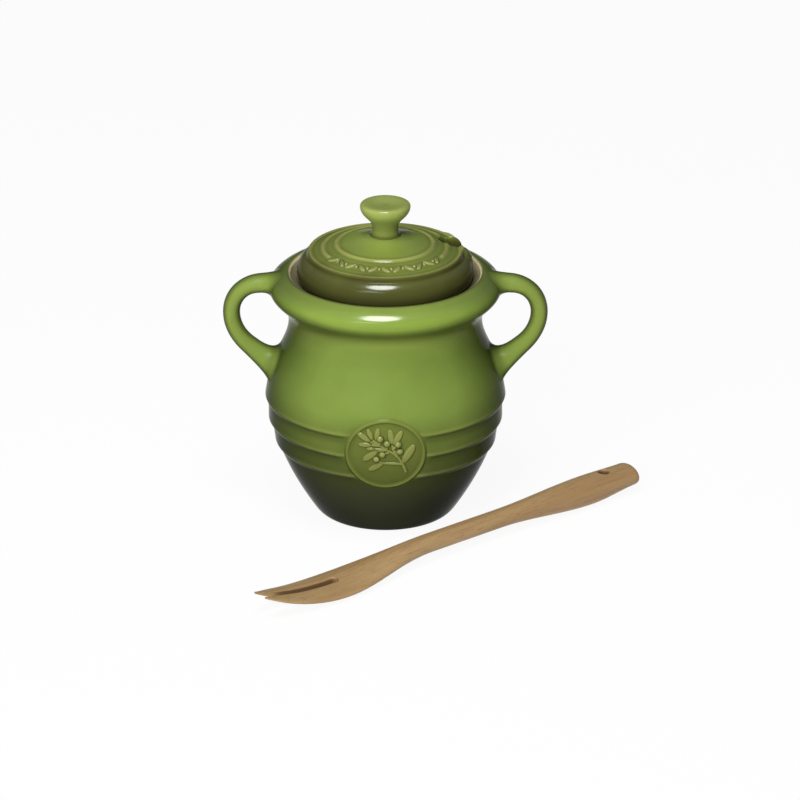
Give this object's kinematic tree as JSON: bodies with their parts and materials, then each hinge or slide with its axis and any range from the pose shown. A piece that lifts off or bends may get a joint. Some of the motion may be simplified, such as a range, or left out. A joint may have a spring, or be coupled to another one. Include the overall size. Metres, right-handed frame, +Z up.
{
  "type": "olive jar",
  "caption": "Round glazed stoneware olive jar with ear handles, rolled bands, a sprig medallion, a lift-off lid notched for a fork, a waisted knob, and a slotted beech fork.",
  "frame": {"origin": "middle of the jar's flat foot, on the table", "axes": "+Z up, -Y towards the medallion, the two ears along X, the fork lying beside the jar towards +X and -Y"},
  "size_m": [0.195, 0.1868, 0.1519],
  "materials": {
    "green_glaze": "glossy green glaze, dark olive at the foot and on the lid's edge",
    "medallion_glaze": "glossy olive green glaze",
    "relief_glaze": "glossy glaze, thin and pale on raised work",
    "beech": "smooth oiled beech"
  },
  "bodies": {
    "jar": {"jar_body": "green_glaze", "left_handle": "green_glaze", "right_handle": "green_glaze", "medallion": "medallion_glaze", "olive_sprig": "relief_glaze"},
    "lid": {"lid": "green_glaze", "lid_knob": "green_glaze", "lid_garland": "relief_glaze"},
    "fork": {"fork_grip": "beech", "fork_head": "beech"}
  },
  "joints": [
    {"name": "lid_lift", "type": "slide", "parent": "jar", "child": "lid", "axis": [0, 0, 1], "range_m": [0, 0.06]},
    {"name": "fork_lift", "type": "slide", "parent": "jar", "child": "fork", "axis": [0.4545, -0.5417, 0.7071], "range_m": [0, 0.08]}
  ]
}
